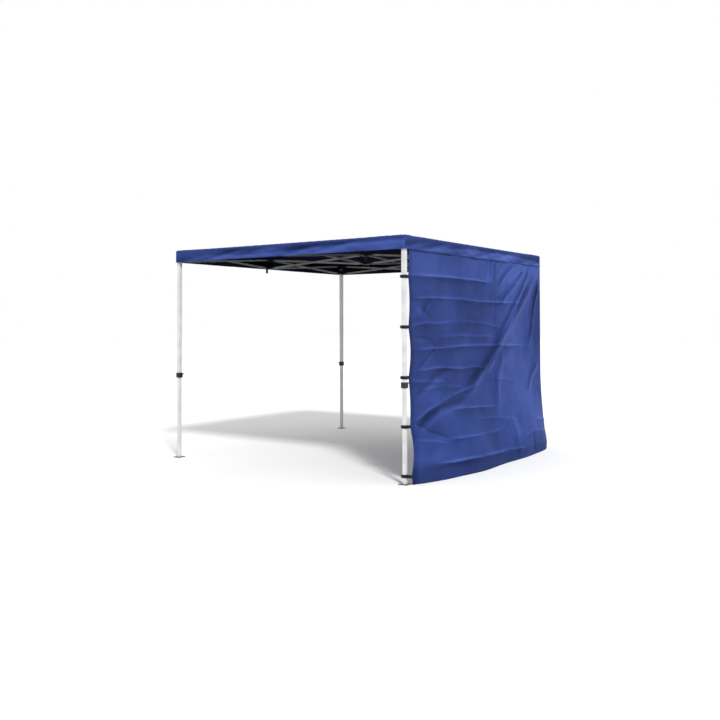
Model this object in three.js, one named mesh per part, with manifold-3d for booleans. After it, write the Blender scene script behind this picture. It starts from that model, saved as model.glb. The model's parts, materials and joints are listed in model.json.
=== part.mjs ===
// Pop up canopy, 3 m by 3 m, standing open, with one side wall. Millimetres, +Z up.
// The origin is on the floor at the middle of the footprint, which takes in the side wall's foot. The
// open front looks along -Y and the side wall is at +X. Places are drawn from the middle of the legs.
// The frame is the same in each quarter turn, so every piece is drawn once, for the front side or for
// the front left corner, and turned into its place.
import * as THREE from "three";
import { mergeVertices } from "three/addons/utils/BufferGeometryUtils.js";
import Module from "manifold-3d";

const wasm = await Module();
wasm.setup();

// Overall sizes
const LEG_SPAN = 2930; // from leg axis to leg axis
const COVER_OVERHANG = 35; // from the leg axis out to the valance
const EAVE_HEIGHT = 2250; // top of the cover at its edge
const ROOF_RISE = 150; // from the eave up to the middle of the roof
const VALANCE_DROP = 125;
const TRUSS_DEPTH = 95; // between the upper and the lower pivots when open
const PIVOT_BELOW_EAVE = 16;
const LOCK_HEIGHT = 893; // middle of the lock collar
const FIT = 0.3; // between pieces that touch
const RUNNING = 0.5; // between pieces that slide on each other
const SINK = 1; // how far joined shapes reach into each other, and cuts reach past what they cut

// Legs
const OUTER_TUBE = 38;
const OUTER_WALL = 1.2;
const INNER_TUBE = 32;
const INNER_WALL = 1.0;
const LEG_OVERLAP = 190; // inner leg inside the outer one
const FOOT_WIDTH = 90;
const FOOT_THICKNESS = 5;
const CAP_LIP = 2; // the corner bracket's cap round the tube
const CAP_HEIGHT = 50;

// Scissor bars
const BAR_HEIGHT = 20;
const BAR_THICKNESS = 10;
const BAR_WALL = 0.9;
const BAR_GAP = 1; // between two bars that cross
const BAR_END = 12; // past the pivot
const RIVET_RADIUS = 4;
const RIVET_HEAD_RADIUS = 7;
const RIVET_HEAD = 2;
const RIVET_SIDES = 6;

// Brackets, with each pivot's distance from what carries it
const CORNER_PIVOT = 80; // from the leg axis
const MID_PIVOT = 70; // from the middle of a side, along the side
const MID_INNER_PIVOT = 60; // from the line of the legs, inwards
// All bars are the same length, so the hub's pivots stand where that puts them.
const HUB_PIVOT = CORNER_PIVOT + MID_PIVOT - MID_INNER_PIVOT; // from the middle of the roof
const CHEEK = 4;
const CHEEK_GAP = 0.5; // from a bar to each cheek
const ARM_HEIGHT = 20;
const BLOCK_TO_PIVOT = 19; // solid part of an arm, short of the turning bar's end
const HUB_RADIUS = 27;
const HUB_HEIGHT = 28;
const POST_RADIUS = 11;
const POST_CAP_RADIUS = 38;
const POST_CAP = 8;
const ROUND_SIDES = 12;

// Slider, its pull pin, the lock collar and its lever
const SLIDER_WALL = 3;
const SLIDER_BELOW_CAP = 7; // from the slider's top to the corner bracket's cap
const SLIDER_BELOW_PIVOT = 10;
const PULL_PIN_RADIUS = 3;
const PULL_KNOB_RADIUS = 7;
const PULL_KNOB = 9;
const PULL_PIN_ABOVE_PIVOT = 30;
const COLLAR_WALL = 5.2;
const COLLAR_HEIGHT = 52;
const COLLAR_LIP = 9;
const EAR_REACH = 12;
const EAR_HEIGHT = 12;
const EAR_THICKNESS = 4;
const LEVER_WIDTH = 14;
const LEVER_REACH = 30;
const LEVER_THICKNESS = 5;
const LEVER_BOSS = 5.5;
const LEVER_PIN = 2;
const LEVER_BELOW_TOP = 8;

// Cover and side wall
const COVER_THICKNESS = 1.6;
const VALANCE_FOLD = 3;
const VALANCE_FOLDS = 5; // along one side
const EAVE_RADIUS = 6;
const COVER_COLUMNS = 30; // along one side
const WALL_THICKNESS = 1.8;
const WALL_OUT = 26.6; // middle of the wall sheet from the leg axis
const WALL_START = 25; // from the front leg's axis to the wall's front edge
const WALL_PAST = 28; // from the back leg's axis to the wall's back edge
const WALL_BELOW_EAVE = 55;
const WALL_HEM = 14;
const WALL_FOLD = 11;
const WALL_COLUMNS = 32;
const WALL_ROWS = 11;
const WALL_SPREAD = 260; // how far the foot stands out on the ground
const WALL_SPREAD_HEIGHT = 950; // height up to which it stands out
const WALL_SPREAD_FRONT = 1100; // length over which it comes out behind the front leg
const WALL_SPREAD_BACK = 730; // length over which it goes back in before the back leg
const WALL_HELD = 38; // flat margin at each edge, where the straps hold it
const WALL_COLUMN_SHIFT = 0.6; // how much closer the columns stand at the edges
const STRAP_LOWEST = 74; // middle of the lowest strap
const STRAP_ABOVE_LOCK = 42; // from the lock collar up to the middle of the next strap
const STRAP_BELOW_TRUSS = 263; // from the lower pivots down to the middle of the highest strap
const STRAP_HEIGHT = 26;
const STRAP_THICKNESS = 1.5;
const STRAP_TAB = 18; // along the wall

// Worked out from the sizes above
const HALF = LEG_SPAN / 2;
const UPPER = EAVE_HEIGHT - PIVOT_BELOW_EAVE;
const LOWER = UPPER - TRUSS_DEPTH;
const BAR_OFFSET = (BAR_THICKNESS + BAR_GAP) / 2;
const CLEVIS = BAR_THICKNESS / 2 + CHEEK_GAP + CHEEK;
const LEG_TOP = EAVE_HEIGHT - COVER_THICKNESS - FIT;
const SLEEVE_INNER = OUTER_TUBE / 2 + RUNNING;
const SLEEVE_OUTER = SLEEVE_INNER + SLIDER_WALL;
const SLIDER_BOTTOM = LOWER - SLIDER_BELOW_PIVOT;
const SLIDER_TOP = LEG_TOP - CAP_HEIGHT - SLIDER_BELOW_CAP;
const COLLAR_INNER = OUTER_TUBE / 2 + FIT;
const COLLAR_OUTER = COLLAR_INNER + COLLAR_WALL;
const COLLAR_BOTTOM = LOCK_HEIGHT - COLLAR_HEIGHT / 2;
const COLLAR_TOP = LOCK_HEIGHT + COLLAR_HEIGHT / 2;
const LEG_BOTTOM = COLLAR_BOTTOM + COLLAR_LIP + FIT;
const COVER_HALF = HALF + COVER_OVERHANG;
const WALL_TOP = EAVE_HEIGHT - WALL_BELOW_EAVE;
const ROOF_SLOPE = ROOF_RISE / COVER_HALF;

// Three straps are placed by what they clear, and one more is halfway between each two of them.
const LOCK_STRAP = COLLAR_TOP + STRAP_ABOVE_LOCK;
const TOP_STRAP = LOWER - STRAP_BELOW_TRUSS;
const STRAP_HEIGHTS = [
  STRAP_LOWEST, (STRAP_LOWEST + LOCK_STRAP) / 2, LOCK_STRAP, (LOCK_STRAP + TOP_STRAP) / 2, TOP_STRAP,
];

const SIDES = ["front", "right", "back", "left"];
const CORNERS = ["front_left", "front_right", "back_right", "back_left"];

const finish = (color, roughness, metalness) =>
  new THREE.MeshStandardMaterial({ color, roughness, metalness });
const white = finish(0xdfe1e2, 0.42, 0.1);
const grey = finish(0x9a9da0, 0.45, 0.4);
const black = finish(0x1d1e20, 0.55, 0.0);
const blue = finish(0x2f4488, 0.85, 0.0);

// A closed geometry as a solid that can be joined and cut.
function solid(geometry) {
  const bare = new THREE.BufferGeometry();
  bare.setAttribute("position", geometry.getAttribute("position"));
  if (geometry.index) bare.setIndex(geometry.index);
  const merged = mergeVertices(bare, 1e-4);
  return new wasm.Manifold(
    new wasm.Mesh({
      numProp: 3,
      vertProperties: new Float32Array(merged.getAttribute("position").array),
      triVerts: new Uint32Array(merged.index.array),
    }),
  );
}

const join = (...pieces) => pieces.reduce((a, b) => a.add(b));
const cut = (piece, ...tools) => tools.reduce((a, b) => a.subtract(b), piece);

// A block between two corners.
function block([x0, x1], [y0, y1], [z0, z1]) {
  const box = new THREE.BoxGeometry(x1 - x0, y1 - y0, z1 - z0);
  return solid(box.translate((x0 + x1) / 2, (y0 + y1) / 2, (z0 + z1) / 2));
}

// Turns a cylinder, which is drawn along y, to lie along another axis.
const TURN = {
  y: (g) => g,
  z: (g) => g.rotateX(Math.PI / 2),
};

// A round rod along an axis, between two places on it, through a point.
function rod(radius, axis, from, to, point, sides = RIVET_SIDES) {
  const long = Math.abs(to - from);
  const at = { ...point, [axis]: (from + to) / 2 };
  const cylinder = TURN[axis](new THREE.CylinderGeometry(radius, radius, long, sides));
  return solid(cylinder.translate(at.x, at.y, at.z));
}

// A hole with flat sides that clears a rod with as many sides, however the two are turned.
const holeFor = (radius, sides = RIVET_SIDES) => (radius + FIT) / Math.cos(Math.PI / sides);

// A solid as a named mesh, turned by quarter turns about the middle of the canopy.
function piece(name, made, material, quarter = 0) {
  const { vertProperties, triVerts, numProp } = made.getMesh();
  const points = new Float32Array((vertProperties.length / numProp) * 3);
  for (let i = 0; i < points.length / 3; i++)
    points.set(vertProperties.subarray(i * numProp, i * numProp + 3), i * 3);
  const geometry = new THREE.BufferGeometry();
  geometry.setAttribute("position", new THREE.BufferAttribute(points, 3));
  geometry.setIndex(new THREE.BufferAttribute(new Uint32Array(triVerts), 1));
  geometry.rotateZ((quarter * Math.PI) / 2);
  geometry.computeVertexNormals();
  const mesh = new THREE.Mesh(geometry, material);
  mesh.name = name;
  return mesh;
}

// A square tube standing on end, between two heights.
function squareTube(x, y, outer, inner, low, high) {
  const around = (half, from, to) => block([x - half, x + half], [y - half, y + half], [from, to]);
  return cut(around(outer, low, high), around(inner, low - SINK, high + SINK));
}

// A bar of hollow box section in an upright plane across y, from one pivot to another. Its ends are
// open. The crossing bar's rivet grows out of it or goes through it, by the last argument.
function bar(from, to, y, crossing) {
  const long = Math.hypot(to.x - from.x, to.z - from.z);
  const tilt = Math.atan2(to.z - from.z, to.x - from.x);
  const middle = { x: (from.x + to.x) / 2, y, z: (from.z + to.z) / 2 };
  const section = (height, thickness, past) =>
    solid(
      new THREE.BoxGeometry(long + 2 * past, thickness, height)
        .rotateY(-tilt)
        .translate(middle.x, y, middle.z),
    );
  const shell = cut(
    section(BAR_HEIGHT, BAR_THICKNESS, BAR_END),
    section(BAR_HEIGHT - 2 * BAR_WALL, BAR_THICKNESS - 2 * BAR_WALL, BAR_END + SINK),
  );
  const half = BAR_THICKNESS / 2;
  const hole = (at) => rod(holeFor(RIVET_RADIUS), "y", y - half - SINK, y + half + SINK, at);
  const pivoted = cut(shell, hole(from), hole(to));
  if (crossing === "hole") return cut(pivoted, hole(middle));
  // The rivet's head is on the far side of the other bar.
  const far = y + crossing * (half + BAR_GAP + BAR_THICKNESS + FIT);
  return join(
    pivoted,
    rod(RIVET_RADIUS, "y", y - crossing * half, far + crossing * RIVET_HEAD, middle),
    rod(RIVET_HEAD_RADIUS, "y", far, far + crossing * RIVET_HEAD, middle),
  );
}

// An arm along +x for one bar: a block from start to short of the pivot, two cheeks and the pivot's
// pin. The bar's plane is at y.
function arm(start, pivot, y, z) {
  const low = z - ARM_HEIGHT / 2;
  const high = z + ARM_HEIGHT / 2;
  const end = pivot + BAR_END;
  const slot = BAR_THICKNESS / 2 + CHEEK_GAP;
  return join(
    block([start, pivot - BLOCK_TO_PIVOT], [y - CLEVIS, y + CLEVIS], [low, high]),
    block([start, end], [y - CLEVIS, y - slot], [low, high]),
    block([start, end], [y + slot, y + CLEVIS], [low, high]),
    rod(RIVET_RADIUS, "y", y - slot - CHEEK / 2, y + slot + CHEEK / 2, { x: pivot, z }),
  );
}

// An arm along +x turned to point another way about a point, in degrees.
const turned = (made, degrees, x, y) =>
  made.translate([-x, -y, 0]).rotate([0, 0, degrees]).translate([x, y, 0]);
const mirrored = (made, x) =>
  made.translate([-x, 0, 0]).mirror([1, 0, 0]).translate([x, 0, 0]);

// Corner at the front left, with one arm along the front side and one along the left side. The arm on
// the left side is the mirror image of the front one, so that its bar lies on the same side of the
// line of the legs.
function cornerArms(start, offset, z) {
  const along = arm(-HALF + start, -HALF + CORNER_PIVOT, -HALF + offset, z);
  const across = turned(along, 90, -HALF, -HALF);
  const flipped = mirrored(across, -HALF);
  return join(along, flipped);
}

function outerLeg() {
  const half = OUTER_TUBE / 2;
  const lip = half + CAP_LIP;
  const tube = squareTube(-HALF, -HALF, half, half - OUTER_WALL, LEG_BOTTOM, LEG_TOP - CAP_LIP);
  const cap = block(
    [-HALF - lip, -HALF + lip],
    [-HALF - lip, -HALF + lip],
    [LEG_TOP - CAP_HEIGHT, LEG_TOP],
  );
  const inside = block(
    [-HALF - half + OUTER_WALL, -HALF + half - OUTER_WALL],
    [-HALF - half + OUTER_WALL, -HALF + half - OUTER_WALL],
    [LEG_BOTTOM - SINK, LEG_TOP - CAP_LIP],
  );
  return cut(join(tube, cap, cornerArms(half, -BAR_OFFSET, UPPER)), inside);
}

function innerLeg() {
  const half = INNER_TUBE / 2;
  const plate = FOOT_WIDTH / 2;
  return join(
    squareTube(-HALF, -HALF, half, half - INNER_WALL, FOOT_THICKNESS / 2, LEG_BOTTOM + LEG_OVERLAP),
    block([-HALF - plate, -HALF + plate], [-HALF - plate, -HALF + plate], [0, FOOT_THICKNESS]),
  );
}

function slider() {
  const sleeve = squareTube(-HALF, -HALF, SLEEVE_OUTER, SLEEVE_INNER, SLIDER_BOTTOM, SLIDER_TOP);
  const inside = block(
    [-HALF - SLEEVE_INNER, -HALF + SLEEVE_INNER],
    [-HALF - SLEEVE_INNER, -HALF + SLEEVE_INNER],
    [SLIDER_BOTTOM - SINK, SLIDER_TOP + SINK],
  );
  const pinHole = rod(holeFor(PULL_PIN_RADIUS), "y", -HALF, -HALF + SLEEVE_OUTER + SINK, {
    x: -HALF,
    z: LOWER + PULL_PIN_ABOVE_PIVOT,
  });
  return cut(join(sleeve, cornerArms(SLEEVE_INNER + SINK, BAR_OFFSET, LOWER)), inside, pinHole);
}

// The pull pin goes into the leg from the inner side. Its tip stops just short of the leg, so that the
// slider can be moved at any time.
function pullPin() {
  const at = { x: -HALF, z: LOWER + PULL_PIN_ABOVE_PIVOT };
  const face = -HALF + SLEEVE_OUTER + FIT;
  return join(
    rod(PULL_PIN_RADIUS, "y", -HALF + OUTER_TUBE / 2 + FIT, face + SINK, at),
    rod(PULL_KNOB_RADIUS, "y", face, face + PULL_KNOB, at, ROUND_SIDES),
  );
}

function lockCollar() {
  const body = squareTube(-HALF, -HALF, COLLAR_OUTER, COLLAR_INNER, COLLAR_BOTTOM, COLLAR_TOP);
  const lip = squareTube(
    -HALF, -HALF, COLLAR_OUTER, INNER_TUBE / 2 + RUNNING, COLLAR_BOTTOM, COLLAR_BOTTOM + COLLAR_LIP,
  );
  const [start, end] = [-HALF + COLLAR_OUTER - SINK, -HALF + COLLAR_OUTER + EAR_REACH];
  const slot = LEVER_WIDTH / 2 + RUNNING;
  const pivot = leverPivot();
  const ear = (from, to) =>
    block([start, end], [-HALF + from, -HALF + to], [pivot.z - EAR_HEIGHT / 2, pivot.z + EAR_HEIGHT / 2]);
  return join(
    body,
    lip,
    ear(-slot - EAR_THICKNESS, -slot),
    ear(slot, slot + EAR_THICKNESS),
    rod(LEVER_PIN, "y", -HALF - slot - SINK, -HALF + slot + SINK, pivot),
  );
}

const leverPivot = () => ({
  x: -HALF + COLLAR_OUTER + LEVER_BOSS + RUNNING,
  z: COLLAR_TOP - LEVER_BELOW_TOP,
});

// The lever reaches out of the collar and a little down, and is pressed down to let the leg slide.
function lockLever() {
  const { x, z } = leverPivot();
  const side = [-HALF - LEVER_WIDTH / 2, -HALF + LEVER_WIDTH / 2];
  const half = LEVER_THICKNESS / 2;
  return cut(
    join(
      rod(LEVER_BOSS, "y", side[0], side[1], { x, z }, ROUND_SIDES),
      block([x, x + LEVER_REACH], side, [z - half, z + half]),
      block([x + LEVER_REACH - half, x + LEVER_REACH + half], side, [z - 3 * half, z + half]),
    ),
    rod(holeFor(LEVER_PIN), "y", side[0] - SINK, side[1] + SINK, { x, z }),
  );
}

// Bracket in the middle of the front side: an arm each way for the side's bars, and one inwards.
function midBracket(offset, z) {
  const along = arm(0, MID_PIVOT, -HALF + offset, z);
  const inwards = turned(arm(0, MID_INNER_PIVOT, offset, z), 90, 0, 0).translate([0, -HALF, 0]);
  return join(along, mirrored(along, 0), inwards);
}

// Four arms round a hub, for bars that are offset to one side of the hub's middle.
function hubArms(offset, z) {
  const one = arm(0, HUB_PIVOT, offset, z);
  const hub = rod(HUB_RADIUS, "z", z - HUB_HEIGHT / 2, z + HUB_HEIGHT / 2, { x: 0, y: 0 }, ROUND_SIDES);
  return join(hub, ...[0, 90, 180, 270].map((degrees) => turned(one, degrees, 0, 0)));
}

// Upper hub with the post that holds the roof up. The post ends just over the lower hub.
function upperHub() {
  const top = EAVE_HEIGHT + ROOF_RISE - COVER_THICKNESS - FIT - ROOF_SLOPE * POST_CAP_RADIUS;
  const centre = { x: 0, y: 0 };
  const bottom = LOWER + HUB_HEIGHT / 2 + RUNNING;
  return join(
    hubArms(BAR_OFFSET, UPPER),
    rod(POST_RADIUS, "z", bottom, top, centre, ROUND_SIDES),
    rod(POST_CAP_RADIUS, "z", top - POST_CAP, top, centre, ROUND_SIDES),
  );
}

// A sheet from a grid of points: place(u, v, side) gives a point of one face (side 0) or of the other
// (side 1). Where the sheet closes on itself, u goes all the way round.
function sheet(place, across, down, round, closed) {
  const points = [];
  const faces = [];
  const columns = round ? across : across + 1;
  for (let side = 0; side < 2; side++)
    for (let j = 0; j <= down; j++)
      for (let i = 0; i < columns; i++) points.push(...place(i / across, j / down, side));
  const at = (i, j, side) => (side * (down + 1) + j) * columns + (i % columns);
  const quad = (a, b, c, d) => faces.push(a, b, c, a, c, d);
  for (let j = 0; j < down; j++)
    for (let i = 0; i < across; i++) {
      quad(at(i, j, 0), at(i, j + 1, 0), at(i + 1, j + 1, 0), at(i + 1, j, 0));
      quad(at(i, j, 1), at(i + 1, j, 1), at(i + 1, j + 1, 1), at(i, j + 1, 1));
    }
  for (let i = 0; i < across; i++) {
    quad(at(i, down, 0), at(i, down, 1), at(i + 1, down, 1), at(i + 1, down, 0));
    if (!closed) quad(at(i, 0, 1), at(i, 0, 0), at(i + 1, 0, 0), at(i + 1, 0, 1));
  }
  if (!round)
    for (let j = 0; j < down; j++) {
      quad(at(0, j, 1), at(0, j + 1, 1), at(0, j + 1, 0), at(0, j, 0));
      quad(at(across, j, 0), at(across, j + 1, 0), at(across, j + 1, 1), at(across, j, 1));
    }
  if (closed)
    for (let side = 0; side < 2; side++) {
      const middle = points.length / 3;
      points.push(...closed(side));
      for (let i = 0; i < across; i++) {
        const [a, b] = [at(i, 0, side), at(i + 1, 0, side)];
        faces.push(...(side ? [middle, b, a] : [middle, a, b]));
      }
    }
  const geometry = new THREE.BufferGeometry();
  geometry.setAttribute("position", new THREE.Float32BufferAttribute(points, 3));
  geometry.setIndex(faces);
  return solid(geometry);
}

const smooth = (t) => t * t * (3 - 2 * t);

// The cover: a low roof with four even slopes, and a valance with soft folds all round.
function cover() {
  // distance out from the middle, height, and how much of the fold's depth, down the cover
  const profile = [
    { out: COVER_HALF * 0.45, z: EAVE_HEIGHT + ROOF_RISE * 0.55, fold: 0 },
    { out: COVER_HALF - EAVE_RADIUS * 2, z: EAVE_HEIGHT + ROOF_SLOPE * EAVE_RADIUS * 2, fold: 0 },
    { out: COVER_HALF, z: EAVE_HEIGHT - EAVE_RADIUS, fold: 0 },
    { out: COVER_HALF, z: EAVE_HEIGHT - VALANCE_DROP / 2, fold: 0.8 },
    { out: COVER_HALF, z: EAVE_HEIGHT - VALANCE_DROP, fold: 1 },
  ];
  const place = (u, v, side) => {
    const row = profile[Math.round(v * (profile.length - 1))];
    const quarter = Math.floor(u * 4) % 4;
    const along = u * 4 - Math.floor(u * 4); // from corner to corner
    const taper = Math.sin(Math.PI * along) ** 0.5;
    const wave = Math.cos(2 * Math.PI * VALANCE_FOLDS * along + quarter);
    const thick = side ? COVER_THICKNESS : 0;
    const sloping = row.z > EAVE_HEIGHT;
    const out = row.out - (sloping ? 0 : thick) + row.fold * VALANCE_FOLD * wave * taper;
    const run = row.out - (sloping ? 0 : thick);
    const x = (2 * along - 1) * run;
    const turn = (quarter * Math.PI) / 2;
    const z = row.z - (sloping || row === profile[2] ? thick : 0);
    return [
      x * Math.cos(turn) + out * Math.sin(turn),
      x * Math.sin(turn) - out * Math.cos(turn),
      z,
    ];
  };
  const top = (side) => [0, 0, EAVE_HEIGHT + ROOF_RISE - (side ? COVER_THICKNESS : 0)];
  return sheet(place, 4 * COVER_COLUMNS, profile.length - 1, true, top);
}

// How far the wall sheet hangs inwards of its flat plane, by its share of the width and of the height.
// It is flat where it lies against the back leg, under the valance and at its straps.
function wallFold(across, up) {
  const edges = smooth(Math.min(1, across / 0.08)) * smooth(Math.min(1, (1 - across) / 0.09));
  const ends = smooth(Math.min(1, (1 - up) / 0.08)) * (0.45 + 0.55 * smooth(Math.min(1, up / 0.1)));
  const drape = 0.5 + 0.3 * Math.sin(2 * Math.PI * (across * 2.2 + up * 0.9));
  const crease = 0.2 * Math.sin(2 * Math.PI * (across * 5.1 - up * 1.7) + 1);
  return WALL_FOLD * edges * ends * (drape + crease);
}

// How far the wall's foot stands out, by the ways to its front and back edges and its height.
function wallSpread(fromFront, fromBack, z) {
  const share = (way, reach) => Math.min(1, Math.max(0, way / reach));
  const bow = (way, reach) => Math.sin((Math.PI / 2) * share(way - WALL_HELD, reach)) ** 0.75;
  const low = smooth(share(WALL_SPREAD_HEIGHT - z, WALL_SPREAD_HEIGHT)) ** 1.3;
  return WALL_SPREAD * low * bow(fromFront, WALL_SPREAD_FRONT) * bow(fromBack, WALL_SPREAD_BACK);
}

// The side wall hangs outside the back leg and is strapped to both legs of the right side.
function sideWall() {
  const [start, end] = [-HALF + WALL_START, HALF + WALL_PAST];
  const place = (u, v, side) => {
    const up = 1 - v;
    const across = u - (WALL_COLUMN_SHIFT * Math.sin(2 * Math.PI * u)) / (2 * Math.PI);
    const y = start + across * (end - start);
    const z = WALL_HEM + up * (WALL_TOP - WALL_HEM);
    const middle = HALF + WALL_OUT - wallFold(across, up) + wallSpread(y - start, end - y, z);
    return [middle + (side ? -0.5 : 0.5) * WALL_THICKNESS, y, z];
  };
  return join(sheet(place, WALL_COLUMNS, WALL_ROWS, false, null), ...STRAP_HEIGHTS.flatMap(strapLoops));
}

// Loops round the two legs of the right side at one height, joined to the wall sheet.
function strapLoops(z) {
  const tube = (z > LEG_BOTTOM ? OUTER_TUBE : INNER_TUBE) / 2;
  const inner = tube + RUNNING;
  const outer = inner + STRAP_THICKNESS;
  const [low, high] = [z - STRAP_HEIGHT / 2, z + STRAP_HEIGHT / 2];
  const sheetFace = HALF + WALL_OUT;
  const tab = (from, to) => block([HALF + inner, sheetFace], [from, to], [low, high]);
  const front = -HALF;
  return [
    squareTube(HALF, front, outer, inner, low, high),
    tab(front + inner - STRAP_THICKNESS * 2, front + WALL_START + STRAP_TAB),
    squareTube(HALF, HALF, outer, inner, low, high),
    tab(HALF - STRAP_TAB / 2, HALF + STRAP_TAB / 2),
  ];
}

const canopy = new THREE.Group();

// Pivots of the front side's first half, from the front left corner to the middle.
const nearLeg = -HALF + CORNER_PIVOT;
const nearMiddle = -MID_PIVOT;
const outerPlane = -HALF - BAR_OFFSET;
const innerPlane = -HALF + BAR_OFFSET;
const falling = bar({ x: nearLeg, z: UPPER }, { x: nearMiddle, z: LOWER }, outerPlane, "hole");
const rising = bar({ x: nearLeg, z: LOWER }, { x: nearMiddle, z: UPPER }, innerPlane, -1);

// Bars from the hub to the middle of the front side, drawn along -x and turned to point along -y.
const fromHub = -HUB_PIVOT;
const toMiddle = -HALF + MID_INNER_PIVOT;
const hubFalling = turned(
  bar({ x: toMiddle, z: LOWER }, { x: fromHub, z: UPPER }, -BAR_OFFSET, "hole"), 90, 0, 0,
);
const hubRising = turned(
  bar({ x: toMiddle, z: UPPER }, { x: fromHub, z: LOWER }, BAR_OFFSET, -1), 90, 0, 0,
);

SIDES.forEach((side, quarter) => {
  const corner = CORNERS[quarter];
  const next = CORNERS[(quarter + 1) % 4];
  const add = (name, made, material) => canopy.add(piece(name, made, material, quarter));
  add(`outer_leg_${corner}`, outerLeg(), white);
  add(`inner_leg_${corner}`, innerLeg(), white);
  add(`lock_collar_${corner}`, lockCollar(), black);
  add(`lock_lever_${corner}`, lockLever(), black);
  add(`slider_${corner}`, slider(), black);
  add(`slider_pin_${corner}`, pullPin(), grey);
  add(`side_bar_high_${side}_at_${corner}`, falling, grey);
  add(`side_bar_low_${side}_at_${corner}`, rising, grey);
  add(`side_bar_high_${side}_at_${next}`, mirrored(falling, 0), grey);
  add(`side_bar_low_${side}_at_${next}`, mirrored(rising, 0), grey);
  add(`roof_bar_high_${side}`, hubFalling, grey);
  add(`roof_bar_low_${side}`, hubRising, grey);
  add(`mid_bracket_upper_${side}`, midBracket(BAR_OFFSET, UPPER), black);
  add(`mid_bracket_lower_${side}`, midBracket(-BAR_OFFSET, LOWER), black);
});
canopy.add(piece("hub_upper", upperHub(), black));
canopy.add(piece("hub_lower", hubArms(-BAR_OFFSET, LOWER), black));
canopy.add(piece("cover", cover(), blue));
canopy.add(piece("side_wall", sideWall(), blue));

// The whole canopy moves so that its footprint's middle, to the millimetre, is at the origin.
const footprint = new THREE.Box3().setFromObject(canopy);
canopy.position.x = -Math.round((footprint.min.x + footprint.max.x) / 2);

export default canopy;
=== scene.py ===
"""A square pop up canopy with one side wall, dressed around its folding frame.

Metres, +Z up. The open front looks along -Y and the side wall hangs at +X.
"""
import json
import math

import bmesh
import bpy
from mathutils import Matrix, Vector, noise

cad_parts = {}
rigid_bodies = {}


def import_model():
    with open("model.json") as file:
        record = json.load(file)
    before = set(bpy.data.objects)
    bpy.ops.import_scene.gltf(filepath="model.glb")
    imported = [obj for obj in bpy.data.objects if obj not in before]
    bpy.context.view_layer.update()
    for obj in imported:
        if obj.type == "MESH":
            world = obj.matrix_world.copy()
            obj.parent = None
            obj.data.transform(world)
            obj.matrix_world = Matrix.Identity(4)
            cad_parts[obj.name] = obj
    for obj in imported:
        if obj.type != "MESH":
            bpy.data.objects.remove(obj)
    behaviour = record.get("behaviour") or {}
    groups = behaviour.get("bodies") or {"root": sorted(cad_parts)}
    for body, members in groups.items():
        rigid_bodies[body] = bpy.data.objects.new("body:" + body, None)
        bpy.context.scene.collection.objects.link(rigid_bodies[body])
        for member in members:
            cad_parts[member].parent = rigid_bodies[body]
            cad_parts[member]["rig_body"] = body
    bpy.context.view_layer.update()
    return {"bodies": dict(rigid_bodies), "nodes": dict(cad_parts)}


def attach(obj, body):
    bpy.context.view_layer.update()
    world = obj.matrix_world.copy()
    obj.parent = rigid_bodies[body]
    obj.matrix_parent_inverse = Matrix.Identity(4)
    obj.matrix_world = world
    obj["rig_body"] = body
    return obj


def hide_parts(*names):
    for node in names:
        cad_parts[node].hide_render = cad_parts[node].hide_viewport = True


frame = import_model()

# The camera stands outside the front right leg at a person's eye height, as the photographer did. Its
# place and turn are fitted to the legs, the eave and the feet, and so are its focal length and the
# picture's centre, in pixels of a 720 by 720 frame.
PICTURE = 720
FOCAL, CENTRE_X, CENTRE_Y = 835.6, 401.4, 307.9
STANDS, YAW, PITCH, ROLL = (5.440, -7.816, 1.455), 33.02, 1.03, -0.19


def placed(name, data):
    """An object that holds some data, in the scene."""
    made = bpy.data.objects.new(name, data)
    bpy.context.scene.collection.objects.link(made)
    return made


lens = bpy.data.cameras.new("camera")
lens.sensor_width = 36
lens.lens = FOCAL / PICTURE * lens.sensor_width
lens.shift_x = 0.5 - CENTRE_X / PICTURE
lens.shift_y = CENTRE_Y / PICTURE - 0.5
camera = placed("camera", lens)
turn = Matrix.Rotation(math.radians(YAW), 4, "Z") @ Matrix.Rotation(math.radians(90 + PITCH), 4, "X")
camera.matrix_world = (
    Matrix.Translation(STANDS) @ turn @ Matrix.Rotation(math.radians(ROLL), 4, "Z")
)
bpy.context.scene.camera = camera

# A plain pale studio: a wide matt floor, an even white sky and one broad soft lamp from the front.
# None of it belongs to the canopy.
view = bpy.context.scene.view_settings
view.view_transform = "Standard"


def shader_of(material):
    return material.node_tree.nodes["Principled BSDF"]


def finish_of(name, color, roughness, **sockets):
    """A new material with its shader's plain values set, by socket name."""
    made = bpy.data.materials.new(name)
    made.use_nodes = True
    shader = shader_of(made)
    shader.inputs["Base Color"].default_value = (*color, 1)
    shader.inputs["Roughness"].default_value = roughness
    for socket, value in sockets.items():
        shader.inputs[socket.replace("_", " ")].default_value = value
    return made


def add_node(material, kind, links=(), **values):
    """A node in a material, with its inputs linked or set by name and its own settings by keyword."""
    node = material.node_tree.nodes.new(kind)
    for key, value in values.items():
        if hasattr(node, key):
            setattr(node, key, value)
        else:
            node.inputs[key.replace("_", " ")].default_value = value
    for socket, source in links:
        material.node_tree.links.new(source, node.inputs[socket])
    return node


def link(material, source, socket):
    material.node_tree.links.new(source, shader_of(material).inputs[socket])


def mottled(material, source, scale, dark, light, detail=4):
    """Lets a material's colour wander between two with a soft noise, on given coordinates."""
    cloud = add_node(material, "ShaderNodeTexNoise", [("Vector", source)], Scale=scale, Detail=detail)
    ramp = add_node(material, "ShaderNodeValToRGB", [("Fac", cloud.outputs["Fac"])])
    for stop, color, place in zip(ramp.color_ramp.elements, (dark, light), (0.35, 0.65)):
        stop.color, stop.position = (*color, 1), place
    link(material, ramp.outputs["Color"], "Base Color")
    return ramp


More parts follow.
